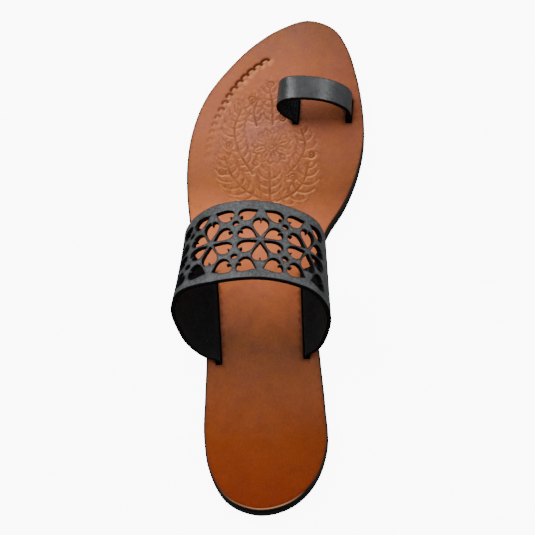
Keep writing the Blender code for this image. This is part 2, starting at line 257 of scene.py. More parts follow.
# Studio lights: name, setting that holds the power, share of it, place, aim, and size
# across the shoe and along it
MIDDLE = (0.0, 0.0, 0.02)
FOREFOOT = (0.0, 0.06, 0.02)
STUDIO_LIGHTS = (
    ("overhead_light", "overhead_power", 1.0, (-0.04, 0.26, 0.95), FOREFOOT, (0.25, 0.4)),
    ("outer_key_light", "outer_key_power", 1.0, (-0.47, 0.32, 0.72), FOREFOOT, (0.2, 0.6)),
    ("inner_key_light", "inner_key_power", 1.0, (0.50, 0.36, 0.62), FOREFOOT, (0.16, 0.6)),
    ("toe_light", "toe_power", 1.0, (0.12, 0.98, 0.62), FOREFOOT, (0.4, 0.2)),
    ("rear_light", "rear_power", 1.0, (0.0, -0.25, 0.90), MIDDLE, (0.5, 0.4)),
    ("outer_light", "fill_power", 1.0, (-0.95, -0.15, 0.45), MIDDLE, (0.5, 0.7)),
    ("inner_light", "fill_power", 0.6, (0.95, 0.0, 0.45), MIDDLE, (0.5, 0.7)),
)
FLOOR_HALF = 3.0
FLOOR_STEPS = 40
FLOOR_RISE = 1.2


def smooth_path(points, steps, closed=False):
    """A cubic curve through the points, whose slope at each is the mean of the chords on
    either side, the shorter one counting more."""
    points = np.array(points, float)
    if closed:
        padded = np.vstack((points[-1], points, points[:2]))
    else:
        padded = np.vstack((2 * points[0] - points[1], points, 2 * points[-1] - points[-2]))
    chords = np.diff(padded, axis=0)
    spans = np.linalg.norm(chords, axis=1)
    slopes = chords / spans[:, None]
    tangents = (slopes[:-1] * spans[1:, None] + slopes[1:] * spans[:-1, None])
    tangents /= (spans[:-1] + spans[1:])[:, None]
    share = (np.arange(steps) / steps)[None, :, None]
    span = spans[1:-1, None, None]
    start, end = padded[1:-2, None], padded[2:-1, None]
    path = start + (end - start) * share ** 2 * (3 - 2 * share)
    path = path + tangents[:-1, None] * share * (1 - share) ** 2 * span
    path = path + tangents[1:, None] * share ** 2 * (share - 1) * span
    path = path.reshape(-1, points.shape[1])
    return path if closed else np.vstack((path, points[-1]))


def lengths_along(path):
    """Distance from the path's start to each of its points."""
    return np.concatenate(([0.0], np.cumsum(np.linalg.norm(np.diff(path, axis=0), axis=1))))


def points_at(path, stations):
    """Points of the path at those distances from its start."""
    lengths = lengths_along(path)
    return np.column_stack([np.interp(stations, lengths, axis) for axis in path.T])


def even_path(path, spacing):
    """The same path with its points spaced evenly."""
    whole = lengths_along(path)[-1]
    return points_at(path, np.linspace(0, whole, max(2, round(whole / spacing) + 1)))


def closed_loop(path, spacing):
    """A closed line with evenly spaced points and no repeated end."""
    return even_path(np.vstack((path, path[:1])), spacing)[:-1]


def loop_normals(loop):
    """Flat normals to the right of the direction of travel, away from the leather."""
    run = np.roll(loop, -1, axis=0) - np.roll(loop, 1, axis=0)
    run /= np.linalg.norm(run, axis=1)[:, None]
    return np.column_stack((run[:, 1], -run[:, 0]))


def drawn_in(loop, inset):
    """The loop moved in over the leather, along its normals, by that much."""
    return loop - loop_normals(loop) * inset


def turned_about(line, base, angle):
    """A flat line turned by an angle and moved to its base."""
    turn = np.array(((math.cos(angle), math.sin(angle)), (-math.sin(angle), math.cos(angle))))
    return line @ turn + np.array(base)


def nearest(points, targets):
    """Distance from each point to the nearest target, and which target that is. It works
    through the points block by block, to keep the table of distances small."""
    distance = np.empty(len(points))
    index = np.empty(len(points), int)
    for start in range(0, len(points), BLOCK):
        block = slice(start, start + BLOCK)
        squared = ((points[block][:, None] - targets[None]) ** 2).sum(axis=2)
        index[block] = squared.argmin(axis=1)
        distance[block] = np.sqrt(squared.min(axis=1))
    return distance, index


def lattice(low, high, spacing):
    """Points of a triangular lattice over a rectangle."""
    rows = np.arange(low[1], high[1], spacing * math.sqrt(0.75))
    columns = np.arange(low[0], high[0], spacing)
    x = columns[None, :] + (np.arange(len(rows)) % 2 * spacing / 2)[:, None]
    y = np.repeat(rows[:, None], len(columns), axis=1)
    return np.column_stack((x.ravel(), y.ravel()))


def inside_points(points, loops, clearance):
    """The points that lie on the leather, at least that far from its loops. The side a point
    is on comes from the normal of the nearest point of a loop."""
    targets = np.concatenate(loops)
    normals = np.concatenate([loop_normals(loop) for loop in loops])
    distance, index = nearest(points, targets)
    outward = ((points - targets[index]) * normals[index]).sum(axis=1)
    return points[(outward < 0) & (distance > clearance)]


def sheet_patch(loops, inner):
    """A flat sheet of triangles inside the first loop and outside the others, with the
    inner points as corners too (a constrained Delaunay triangulation)."""
    points = np.concatenate(list(loops) + [inner])
    ends = np.cumsum([len(loop) for loop in loops])
    outlines = [list(range(end - len(loop), end)) for loop, end in zip(loops, ends)]
    outlines[1:] = [outline[::-1] for outline in outlines[1:]]
    made = delaunay_2d_cdt(points.tolist(), [], outlines, 0, 1e-9, True)
    if len(made[0]) != len(points):
        raise RuntimeError("the outlines of a sheet cross each other")
    triangles = np.array(made[2])
    kept = np.array([faces == [0] for faces in made[5]])
    order = np.array([source[0] for source in made[3]])
    return points, order[triangles[kept]]


def wall_patch(loop, insets, levels):
    """The edge of a sheet: one ring of points for each inset and level, from the top down."""
    normals = loop_normals(loop)
    rings = loop[None] - normals[None] * np.array(insets)[:, None, None]
    count, turns = len(insets), len(loop)
    points = np.column_stack((rings.reshape(-1, 2), np.repeat(levels, turns)))
    here = np.arange(turns)
    onward = np.roll(here, -1)
    upper = (np.arange(count - 1) * turns)[:, None]
    corners = [upper + here, upper + turns + here, upper + turns + onward, upper + onward]
    a, b, c, d = (corner.ravel() for corner in corners)
    return points, np.concatenate((np.column_stack((a, b, c)), np.column_stack((a, c, d))))


def rounded_edge(top_radius, bottom_radius, thickness, steps=3):
    """Insets and levels of an edge that is a quarter circle at the top and at the bottom.
    Levels run from 0.5 at the top to -0.5."""
    turn = np.linspace(0, math.pi / 2, steps + 1)
    insets = np.concatenate((top_radius * (1 - np.sin(turn)), bottom_radius * (1 - np.cos(turn))))
    upper = 0.5 - top_radius / thickness * (1 - np.cos(turn))
    lower = -0.5 + bottom_radius / thickness * (1 - np.sin(turn))
    return insets, np.concatenate((upper, lower))


class Skin:
    """Patches of one piece, gathered until they are welded into a closed mesh. Their flat
    points have x, y and a level."""

    def __init__(self):
        self.flat = []
        self.faces = []
        self.groups = []
        self.count = 0

    def add(self, points, triangles, group):
        """Takes flat points, and the triangles between them."""
        self.flat.append(points)
        self.faces.append(triangles + self.count)
        self.groups.append(np.full(len(triangles), group, np.int32))
        self.count += len(points)

    def add_sheet(self, loops, inner, level, group, down=False):
        """A flat sheet at one level, which faces up unless it is asked to face down."""
        points, triangles = sheet_patch(loops, inner)
        if down:
            triangles = triangles[:, ::-1]
        self.add(np.column_stack((points, np.full(len(points), level))), triangles, group)

    def add_plate(self, loops, edges, top_inner, bottom_inner):
        """A whole plate: top and bottom sheets, and for every loop the insets and levels of
        its edge. The top is group 0, the edges group 1 and the bottom group 2."""
        for inner, end, group in ((top_inner, 0, 0), (bottom_inner, -1, 2)):
            rings = [drawn_in(loop, insets[end]) for loop, (insets, _) in zip(loops, edges)]
            self.add_sheet(rings, inner, edges[0][1][end], group, end == -1)
        for loop, edge in zip(loops, edges):
            self.add(*wall_patch(loop, *edge), 1)

    def weld(self, name, place, values, finishes):
        """The closed mesh as an object. place sets flat points in space, and values gives
        each attribute from the same flat points."""
        flat = np.concatenate(self.flat)
        faces = np.concatenate(self.faces)
        groups = np.concatenate(self.groups)
        points = place(flat) * MM
        keys = np.round(points / WELD).astype(np.int64)
        _, first, where = np.unique(keys, axis=0, return_index=True, return_inverse=True)
        faces = where.ravel()[faces]
        whole = (faces != np.roll(faces, 1, axis=1)).all(axis=1)
        faces, groups = faces[whole], groups[whole]
        mesh = bpy.data.meshes.new(name)
        mesh.vertices.add(len(first))
        mesh.vertices.foreach_set("co", points[first].astype(np.float32).ravel())
        mesh.loops.add(faces.size)
        mesh.loops.foreach_set("vertex_index", faces.astype(np.int32).ravel())
        mesh.polygons.add(len(faces))
        mesh.polygons.foreach_set("loop_start", np.arange(0, faces.size, 3, dtype=np.int32))
        mesh.polygons.foreach_set("material_index", groups)
        mesh.update(calc_edges=True)
        mesh.validate()
        mesh.shade_smooth()
        for label, numbers in values.items():
            attribute = mesh.attributes.new(label, "FLOAT", "POINT")
            attribute.data.foreach_set("value", numbers(flat)[first].astype(np.float32))
        for finish in finishes:
            mesh.materials.append(finish)
        piece = bpy.data.objects.new(name, mesh)
        bpy.context.scene.collection.objects.link(piece)
        return piece


def into_frame(piece, node):
    """The piece takes the place of its solid in the frame."""
    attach(piece, "root")
    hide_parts(node)


class StrapForm:
    """A flat strip of leather bent over the footbed, with a tab folded under at each end.
    Flat points are the distance along the strip, the distance across it from its middle
    line, towards the toe, and a level from -0.5 inside to 0.5 outside."""

    def __init__(self, rear_feet, front_feet, sections, lean, tab, thickness):
        self.rear_feet = np.array(rear_feet)
        self.front_feet = np.array(front_feet)
        self.tab = tab
        self.thickness = thickness
        self.drop = FOOTBED_TOP - TAB_HEIGHT - FOLD_RADIUS
        self.leg = self.drop + FOLD_RADIUS * math.pi / 2 + tab
        rows = np.array(sections)
        self.rear = self.edge_path(rows[:, :2], self.rear_feet, lean)
        self.front = self.edge_path(rows[:, 2:], self.front_feet, lean)
        self.arch = (lengths_along(self.rear)[-1] + lengths_along(self.front)[-1]) / 2
        self.length = self.arch + 2 * self.leg
        self.width = np.linalg.norm(self.front_feet[0] - self.rear_feet[0])

    @staticmethod
    def edge_path(rows, feet, lean):
        """One edge of the strip in space, leaning forward as it rises."""
        flat = np.vstack(((feet[0][0], 0.0), rows, (feet[1][0], 0.0)))
        curve = smooth_path(flat, 24)
        share = np.clip((curve[:, 0] - feet[0][0]) / (feet[1][0] - feet[0][0]), 0, 1)
        along = feet[0][1] + (feet[1][1] - feet[0][1]) * share + lean * curve[:, 1]
        return np.column_stack((curve[:, 0], along, FOOTBED_TOP + curve[:, 1]))

    def foot_axes(self, end):
        """Unit vectors of a foot: from its rear edge to its front one, and in under the shoe."""
        line = self.front_feet[end] - self.rear_feet[end]
        run = line / np.linalg.norm(line)
        return run, np.array((run[1], -run[0])) * (1 if end == 0 else -1)

    def leg_points(self, end, below, share):
        """Points of a foot: straight down through the slot, round a quarter turn, then flat
        under the footbed towards the middle of the shoe."""
        line = self.front_feet[end] - self.rear_feet[end]
        inward = self.foot_axes(end)[1]
        turn = np.clip((below - self.drop) / FOLD_RADIUS, 0, math.pi / 2)
        flat_run = np.maximum(below - self.drop - FOLD_RADIUS * math.pi / 2, 0)
        moved = FOLD_RADIUS * (1 - np.cos(turn)) + flat_run
        height = FOOTBED_TOP - np.minimum(below, self.drop) - FOLD_RADIUS * np.sin(turn)
        foot = self.rear_feet[end] + line * share[:, None]
        return np.column_stack((foot + inward * moved[:, None], height))

    def middle(self, along, share):
        """Middle of the leather, straight across from the rear edge to the front one."""
        on_arch = np.clip((along - self.leg) / self.arch, 0, 1)
        rear, front = (points_at(path, on_arch * lengths_along(path)[-1]) for path in (self.rear, self.front))
        points = rear + (front - rear) * share[:, None]
        outer = (along < self.leg)[:, None]
        inner = (along > self.leg + self.arch)[:, None]
        points = np.where(outer, self.leg_points(0, self.leg - along, share), points)
        return np.where(inner, self.leg_points(1, along - self.leg - self.arch, share), points)

    def place(self, flat):
        """The middle of the leather moved along its normal by the level times the thickness,
        which is pared down below the footbed."""
        along, level = flat[:, 0], flat[:, 2]
        share = flat[:, 1] / self.width + 0.5
        step = 0.15
        run = self.middle(along + step, share) - self.middle(along - step, share)
        across = self.middle(along, np.ones_like(share)) - self.middle(along, np.zeros_like(share))
        normal = np.cross(run, across)
        normal /= np.linalg.norm(normal, axis=1)[:, None]
        from_foot = np.minimum(along, self.length - along) - self.leg + self.drop
        skive = np.clip(from_foot / (self.drop + 2.0), 0, 1)
        thickness = TAB_THICKNESS + (self.thickness - TAB_THICKNESS) * skive
        points = self.middle(along, share) + normal * (level * thickness)[:, None]
        return points - np.array((CENTRE[0], CENTRE[1], 0.0))

    def outline(self, spacing):
        """The flat strip's outline, anticlockwise, with softly rounded corners."""
        half, soft = self.width / 2, 0.8
        turn = np.linspace(0, math.pi / 2, 6)
        corners = []
        places = ((self.length, -half, -90), (self.length, half, 0), (0, half, 90), (0, -half, 180))
        for x, y, start in places:
            centre = np.array((x - soft * np.sign(x - 1), y - soft * np.sign(y)))
            angle = turn + math.radians(start)
            corners.append(centre + soft * np.column_stack((np.cos(angle), np.sin(angle))))
        return closed_loop(np.vstack(corners), spacing)


def toe_lift(y):
    """How far the sole springs at the toe: the square of the distance past where it starts."""
    share = np.clip((y - SPRING_START) / (LENGTH - SPRING_START), 0, None)
    return TOE_SPRING * share ** 2


def waist_lift(y):
    """How far the underside rises at the waist: one whole wave of a cosine."""
    share = np.clip((y - WAIST_START) / (WAIST_END - WAIST_START), 0, 1)
    return WAIST_RISE * (1 - np.cos(2 * math.pi * share)) / 2


def sole_outline(margin, heel_margin, spacing):
    """The sole's outline, anticlockwise, grown by one margin and by another at the heel."""
    rows = np.array(OUTLINE)
    outer = np.column_stack((rows[:, 1], rows[:, 0]))
    inner = np.column_stack((rows[:, 2], rows[:, 0]))[::-1]
    path = smooth_path(np.vstack((HEEL_TIP, outer, TOE_TIP, inner)), 12, closed=True)
    loop = closed_loop(path[::-1], spacing)
    toward_heel = np.clip(1 - loop[:, 1] / HEEL_MARGIN_END, 0, 1)
    grown = margin + (heel_margin - margin) * toward_heel
    return loop + loop_normals(loop) * grown[:, None]


def foot_loop(strap, end, outward, inward, spare, spacing):
    """A rectangle along one foot of a strap, clockwise, as an opening is drawn."""
    rear, front = strap.rear_feet[end], strap.front_feet[end]
    run, toward = strap.foot_axes(end)
    corners = np.array((
        rear - run * spare - toward * outward,
        front + run * spare - toward * outward,
        front + run * spare + toward * inward,
        rear - run * spare + toward * inward,
    ))
    across = np.cross(corners[2] - corners[0], corners[3] - corners[1])
    corners = corners if across < 0 else corners[::-1]
    sides = [even_path(np.vstack((corners[i], corners[(i + 1) % 4])), spacing)[:-1] for i in range(4)]
    return np.concatenate(sides)


def petal_loop(centre, degrees, start, length, half_width):
    """A pointed petal, clockwise, whose wide end has two lobes with a small tongue between."""
    side = smooth_path(np.array(PETAL_SIDE) * (length, half_width), 3)
    side[:, 0] += start
    mirrored = side[-2:0:-1] * (1, -1)
    return turned_about(np.vstack((side, mirrored)), centre, math.radians(degrees))


def band_openings(settings, foot):
    """Every opening of the instep band: a row of six-petalled flowers, half flowers on both
    sides of them, and round holes between. The rows are drawn in towards the longer rear
    edge, in proportion to the distance across the band and from one place along it."""
    pitch, radius = settings.flower_pitch / MM, settings.dot_radius / MM
    start, length = settings.petal_start / MM, settings.petal_length / MM
    half_width = settings.petal_half_width / MM
    turn = np.linspace(0, -2 * math.pi, 24, endpoint=False)
    ring = radius * np.column_stack((np.cos(turn), np.sin(turn)))
    loops = []
    for index in range(FLOWER_COUNT):
        along = MIDDLE_FLOWER_AT + pitch * (index - MIDDLE_FLOWER)
        for facing in (0, 180):
            centre = (along, MIDDLE_ROW_AT)
            loops.append(petal_loop(centre, facing + PETAL_SLANT, start, length, half_width))
            loops.append(petal_loop(centre, facing + 90, start, length * LONG_PETAL, half_width))
            loops.append(petal_loop(centre, facing - PETAL_SLANT, start, length, half_width))
        for row, slant, longer, wider in HALF_FLOWERS:
            size = (start, length * longer, half_width * wider)
            loops += [petal_loop((along, row), angle, *size) for angle in (slant, 180 - slant)]
        if index:
            loops += [ring + (along - pitch / 2, MIDDLE_ROW_AT + side * DOT_ACROSS) for side in (-1, 1)]
    moved = [PATTERN_TAPER * loop[:, 1] * (loop[:, 0] - TAPER_FROM) + foot for loop in loops]
    return [loop + np.column_stack((shift, 0 * shift)) for loop, shift in zip(loops, moved)]


def leaf_strokes(base, angle, length, width):
    """A leaf as two bowed lines that meet at its tip, and its midrib."""
    u = np.linspace(0, 1, 24)
    bow = width / 2 * np.sin(math.pi * u ** 0.8)
    sides = [np.column_stack((u * length, side * bow)) for side in (-1, 1)]
    rib = np.column_stack((u[:17] * length, 0 * u[:17]))
    return [turned_about(stroke, base, angle) for stroke in sides + [rib]]


def frond_strokes(path, width, pairs):
    """A fern frond: a rib along a smooth path, and on both sides of it a row of bowed barbs
    that lean towards the tip. Their length is half the width times the square root of the
    sine of the distance along the rib."""
    rib = even_path(smooth_path(path, 12), LINE_SPACING)
    u = np.linspace(0, 1, 14)
    strokes = []
    for station in (np.arange(pairs) + 0.6) / pairs:
        index = int(station * (len(rib) - 2))
        run = rib[index + 1] - rib[index]
        angle = math.atan2(run[1], run[0])
        reach = width / 2 * math.sin(math.pi * (0.12 + 0.82 * station)) ** 0.5
        for side in (-1, 1):
            ahead, aside = 0.25 * u + 0.75 * u ** 2, 1 - (1 - u) ** 1.6
            barb = np.column_stack((reach * ahead, side * reach * aside))
            strokes.append(turned_about(barb, rib[index], angle))
    return rib, strokes


def curl_stroke(centre, radius, start, turns):
    """A spiral that tightens to nothing, as radius falls with the angle turned."""
    u = np.linspace(0, 1, 40)
    angle = math.radians(start) + 2 * math.pi * turns * u
    reach = radius * (1 - 0.82 * u)
    return np.column_stack((np.cos(angle), np.sin(angle))) * reach[:, None] + np.array(centre)


def ornament_strokes():
    """Points of the pressed lines on the forefoot and how strong each one is: a rosette
    among fern fronds and curls. It is a plain spray of this shoe's own."""
    fine, bold = [], []
    for path, width, pairs in FRONDS:
        rib, barbs = frond_strokes(path, width, pairs)
        bold.append(rib)
        fine += barbs
    centre = np.array(ROSETTE_AT)
    fine = [stroke for stroke in fine if np.linalg.norm(stroke - centre, axis=1).min() > ROSETTE_CLEARANCE]
    for eighth in range(8):
        for first, distance, length, width, lines in ROSETTE_RINGS:
            angle = math.radians(first + 45 * eighth)
            base = centre + distance * np.array((math.cos(angle), math.sin(angle)))
            fine += leaf_strokes(base, angle, length, width)[:lines]
    bold.append(curl_stroke(centre, 2.4, 0, 1.6))
    bold += [curl_stroke((x, y), radius, start, turns) for x, y, radius, start, turns in CURLS]
    lines = [even_path(stroke, LINE_SPACING) for stroke in fine + bold]
    strength = np.repeat(([0.65] * len(fine)) + [1.0] * len(bold), [len(line) for line in lines])
    return np.concatenate(lines), strength


def stamp_strokes(count):
    """The row of punched arches: an arc of an ellipse each, and how dark and deep each one
    is. At the toe they are flat, bowed towards the outline, and run into one another.
    Towards the waist they stand rounder, fainter and turned with their backs to the toe."""
    row = even_path(smooth_path(STAMP_ROW, 12), 0.1)
    share = (np.arange(count) + 0.5) / count
    stations = share * lengths_along(row)[-1]
    run = points_at(row, stations + 1.0) - points_at(row, stations - 1.0)
    run /= np.linalg.norm(run, axis=1)[:, None]
    outward = np.column_stack((run[:, 1], -run[:, 0]))
    facing, reach, depth, fade = (
        np.interp(share, *zip(*table)) for table in (STAMP_FACING, STAMP_REACH, STAMP_BOW, STAMP_FADE))
    turn = np.radians(facing[:, None] + np.linspace(-STAMP_HALF_TURN, STAMP_HALF_TURN, 15))
    along = reach[:, None] * np.cos(turn)
    bow = depth[:, None] * (np.sin(turn) - 0.7)
    points = points_at(row, stations)[:, None] + run[:, None] * along[..., None]
    points = points + outward[:, None] * bow[..., None]
    return points.reshape(-1, 2), np.repeat(fade, turn.shape[1])


def groove(distance, width):
    """Section of a pressed line: a rounded valley with a low shoulder on either side."""
    valley = np.exp(-(distance / (0.5 * width)) ** 2)
    shoulder = np.exp(-((distance - 1.05 * width) / (0.35 * width)) ** 2)
    return valley - 0.22 * shoulder


class Finish:
    """A node material in the making."""

    def __init__(self, name):
        self.material = bpy.data.materials.new(name)
        self.material.use_nodes = True
        self.tree = self.material.node_tree
        self.shader = self.tree.nodes["Principled BSDF"]
        self.place = self.node("ShaderNodeTexCoord").outputs["Object"]

    def node(self, kind, **settings):
        """A new node with its settings."""
        made = self.tree.nodes.new(kind)
        for name, value in settings.items():
            setattr(made, name, value)
        return made

    def feed(self, socket, value):
        """Gives a socket a link from another one, or else a constant."""
        if isinstance(value, bpy.types.NodeSocket):
            self.tree.links.new(value, socket)
        else:
            socket.default_value = value

    def noise(self, size, detail=3.0, roughness=0.5, stretch=(1.0, 1.0, 1.0), distortion=0.0):
        """Noise whose blotches are about that size, in millimetres."""
        turned = self.node("ShaderNodeMapping")
        self.feed(turned.inputs["Vector"], self.place)
        turned.inputs["Scale"].default_value = stretch
        made = self.node("ShaderNodeTexNoise")
        self.feed(made.inputs["Vector"], turned.outputs[0])
        made.inputs["Scale"].default_value = 1000.0 / size
        made.inputs["Detail"].default_value = detail
        made.inputs["Roughness"].default_value = roughness
        made.inputs["Distortion"].default_value = distortion
        return made.outputs["Fac"]

    def cells(self, size, feature="F1"):
        """Distance to the nearest of a scatter of points that far apart, in millimetres, or
        to the edge between two of them."""
        made = self.node("ShaderNodeTexVoronoi", feature=feature)
        self.feed(made.inputs["Vector"], self.place)
        made.inputs["Scale"].default_value = 1000.0 / size
        return made.outputs["Distance"]

    def math(self, operation, a, b):
        """The sum or the product of two values."""
        made = self.node("ShaderNodeMath", operation=operation)
        self.feed(made.inputs[0], a)
        self.feed(made.inputs[1], b)
        return made.outputs[0]

    def spread(self, value, low, high, new_low=0.0, new_high=1.0):
        """A value carried from one range to another, and held inside it."""
        made = self.node("ShaderNodeMapRange")
        self.feed(made.inputs["Value"], value)
        for name, number in zip(("From Min", "From Max", "To Min", "To Max"), (low, high, new_low, new_high)):
            made.inputs[name].default_value = number
        return made.outputs[0]

    def mix(self, share, a, b, blend="MIX"):
        """A colour on the way from one to another, by a share."""
        made = self.node("ShaderNodeMix", data_type="RGBA", blend_type=blend)
        self.feed(made.inputs["Factor"], share)
        self.feed(made.inputs[6], a)
        self.feed(made.inputs[7], b)
        return made.outputs[2]

    def near(self, point, inner, outer):
        """One within the inner distance of a point of the object, falling to nought at the
        outer one."""
        made = self.node("ShaderNodeVectorMath", operation="DISTANCE")
        self.feed(made.inputs[0], self.place)
        made.inputs[1].default_value = point
        return self.spread(made.outputs["Value"], outer, inner)

    def tint(self, colour, brightness):
        """A colour multiplied by a number that varies over the surface."""
        grey = self.node("ShaderNodeCombineColor")
        for channel in range(3):
            self.feed(grey.inputs[channel], brightness)
        return self.times(colour, grey.outputs[0])

    def times(self, colour, other):
        """One colour multiplied by another."""
        return self.mix(1.0, colour, other, "MULTIPLY")

    def ramp(self, value, stops):
        """A colour that runs through those at the stops as the value rises."""
        made = self.node("ShaderNodeValToRGB")
        self.feed(made.inputs["Fac"], value)
        elements = made.color_ramp.elements
        while len(elements) < len(stops):
            elements.new(0.5)
        for element, (position, colour) in zip(elements, stops):
            element.position = position
            element.color = colour
        return made.outputs["Color"]

    def attribute(self, name):
        """A value that the piece's mesh holds at each point."""
        return self.node("ShaderNodeAttribute", attribute_name=name).outputs["Fac"]

    def bump(self, height, depth, under=None):
        """Relief that deep in millimetres, laid over another relief."""
        made = self.node("ShaderNodeBump")
        made.inputs["Strength"].default_value = 1.0
        made.inputs["Distance"].default_value = depth * MM
        self.feed(made.inputs["Height"], height)
        if under is not None:
            self.feed(made.inputs["Normal"], under)
        return made.outputs["Normal"]

    def done(self, colour, roughness, normal, **constants):
        """The finished material. The constants are sockets of the shader by name."""
        self.feed(self.shader.inputs["Base Color"], colour)
        self.feed(self.shader.inputs["Roughness"], roughness)
        self.feed(self.shader.inputs["Normal"], normal)
        for name, value in constants.items():
            self.shader.inputs[name.replace("_", " ")].default_value = value
        return self.material


def tan_leather_top(settings):
    """Vegetable-tanned leather, orange brown at the heel and a paler pinkish tan at the toe, clouded, with
    pores, with painted shade on its inner side, a painted shadow behind the instep band and painted light
    under it, and a painted sheen in the middle of the forefoot, darker where it is pressed and along its cut
    edge, with painted highlights on the ridges beside the tooling."""
    finish = Finish("tan_leather_top")
    axes = finish.node("ShaderNodeSeparateXYZ")
    finish.feed(axes.inputs[0], finish.place)
    clouds = finish.noise(26.0, 3.0, 0.55)
    along = finish.spread(axes.outputs["Y"], -0.1275, 0.1275)
    along = finish.math("ADD", along, finish.spread(clouds, 0.3, 0.7, -0.016, 0.016))
    # The stops behind and under the instep band are partly painted over the leather's own tone: a painted
    # band shadow just behind it, and painted light under it.
    colour = finish.ramp(along, (
        (0.0, settings.heel_edge_colour),
        (0.13, settings.heel_colour),
        (0.3, settings.band_shadow_colour),
        (0.42, settings.waist_colour),
        (0.54, settings.waist_colour),
        (0.62, settings.ball_colour),
        (0.74, settings.forefoot_colour),
        (0.87, settings.forefoot_colour),
        (1.0, settings.toe_colour),
    ))
    # Painted shade on the inner side, stronger towards the forefoot
    inner_shaded = finish.times(colour, INNER_SHADE)
    inner = finish.spread(axes.outputs["X"], 0.002, 0.036)
    inner = finish.math("MULTIPLY", inner, finish.spread(axes.outputs["Y"], -0.08, 0.0, 0.4, 1.0))
    colour = finish.mix(inner, colour, inner_shaded)
    pinker = finish.times(colour, PINKER)
    redder = finish.times(colour, REDDER)
    colour = finish.mix(finish.spread(finish.noise(12.0, 3.0, 0.6), 0.4, 0.6), pinker, redder)
    colour = finish.tint(colour, finish.spread(finish.noise(6.0, 4.0, 0.7), 0.32, 0.68, 0.92, 1.08))
    colour = finish.tint(colour, finish.spread(finish.noise(1.3, 3.0, 0.7), 0.3, 0.72, 1.07, 0.93))
    pores = finish.cells(1.1)
    colour = finish.tint(colour, finish.spread(pores, 0.0, 0.22, 0.82, 1.0))
    # A painted sheen, paler and pinker, in the middle of the forefoot
    sheened = finish.times(colour, SHEEN_TINT)
    colour = finish.mix(finish.near(SHEEN_AT, 0.006, 0.026), colour, sheened)
    matting = finish.spread(finish.noise(2.2, 3.0, 0.6), 0.36, 0.64, 0.78, 1.2)
    tooled = finish.attribute("tooled")
    colour = finish.mix(tooled, colour, finish.tint(colour, matting))
    # Patches that vary the strength of the painted ridge highlights and of the pressed lines' darkening
    mark_share = finish.spread(finish.noise(8.0, 2.0, 0.5), 0.36, 0.64, 0.3, 0.85)
    for name, other in (("ridge_highlight", settings.ridge_highlight_colour), ("carved", settings.pressed_colour)):
        colour = finish.mix(finish.math("MULTIPLY", finish.attribute(name), mark_share), colour, other)
    for name, other in (("stamped", settings.stamp_colour), ("rim", settings.rim_colour)):
        colour = finish.mix(finish.attribute(name), colour, other)
    normal = finish.bump(finish.noise(0.55, 3.0, 0.6), 0.05)
    normal = finish.bump(finish.spread(pores, 0.0, 0.3), 0.06, normal)
    normal = finish.bump(finish.math("MULTIPLY", matting, tooled), 0.25, normal)
    normal = finish.bump(finish.noise(9.0, 2.0, 0.5), 0.2, normal)
    roughness = finish.spread(finish.noise(5.0, 3.0), 0.3, 0.7, 0.42, 0.56)
    return finish.done(colour, roughness, normal, Specular_IOR_Level=0.07)


def tan_leather_edge(settings):
    """The cut edge of the footbed, stained dark, with its fibres running along it, and a painted highlight
    along its upper corner at the heel."""
    finish = Finish("tan_leather_edge")
    axes = finish.node("ShaderNodeSeparateXYZ")
    finish.feed(axes.inputs[0], finish.place)
    fibres = finish.noise(2.2, 4.0, 0.65, (0.35, 0.35, 4.0))
    colour = finish.mix(finish.spread(fibres, 0.3, 0.7), settings.edge_colour, settings.rim_colour)
    # A painted highlight along the upper corner of the edge, strongest at the very heel and on the inner side
    corner = finish.spread(axes.outputs["Z"], 0.0086, 0.0089)
    mark_share = finish.math("MULTIPLY", corner, finish.spread(axes.outputs["Y"], -0.1155, -0.1225))
    mark_share = finish.math("MULTIPLY", mark_share, finish.spread(axes.outputs["X"], -0.012, 0.008, 0.12, 1.0))
    colour = finish.mix(mark_share, colour, settings.corner_highlight_colour)
    normal = finish.bump(fibres, 0.12)
    return finish.done(colour, finish.spread(fibres, 0.3, 0.7, 0.5, 0.7), normal, Specular_IOR_Level=0.25)


def tan_leather_underside(settings):
    """The flesh side of the footbed, rough and dull."""
    finish = Finish("tan_leather_underside")
    nap = finish.noise(0.8, 4.0, 0.7)
    colour = finish.mix(finish.spread(nap, 0.3, 0.7), settings.edge_colour, settings.waist_colour)
    return finish.done(colour, 0.85, finish.bump(nap, 0.15))


def black_leather_grain(settings, colour, roughness, grain):
    """Black leather with a soft blue-grey sheen, slight clouding, and as much fine grain as
    is asked for."""
    finish = Finish("black_leather_grain")
    clouds = finish.noise(6.0, 3.0, 0.6)
    colour = finish.tint(colour, finish.spread(clouds, 0.3, 0.7, 0.8, 1.25))
    flecks = finish.noise(1.2, 3.0, 0.75)
    colour = finish.tint(colour, finish.spread(flecks, 0.36, 0.64, 1 - 0.5 * grain, 1 + 0.6 * grain))
    colour = finish.mix(finish.attribute("burnt"), colour, settings.cut_colour)
    creases = finish.cells(0.75, "DISTANCE_TO_EDGE")
    normal = finish.bump(finish.spread(creases, 0.0, 0.12), 0.03 * grain)
    normal = finish.bump(finish.noise(0.35, 2.0, 0.5), 0.02 * grain, normal)
    normal = finish.bump(clouds, 0.25, normal)
    roughness = finish.spread(clouds, 0.3, 0.7, roughness - 0.04, roughness + 0.05)
    return finish.done(colour, roughness, normal, Specular_IOR_Level=0.6)


def black_leather_cut(settings):
    """The cut edges of the black leather, burnt and dull."""
    finish = Finish("black_leather_cut")
    fibres = finish.noise(0.9, 3.0, 0.7)
    colour = finish.tint(settings.cut_colour, finish.spread(fibres, 0.3, 0.7, 0.6, 1.6))
    return finish.done(colour, 0.8, finish.bump(fibres, 0.06), Specular_IOR_Level=0.15)


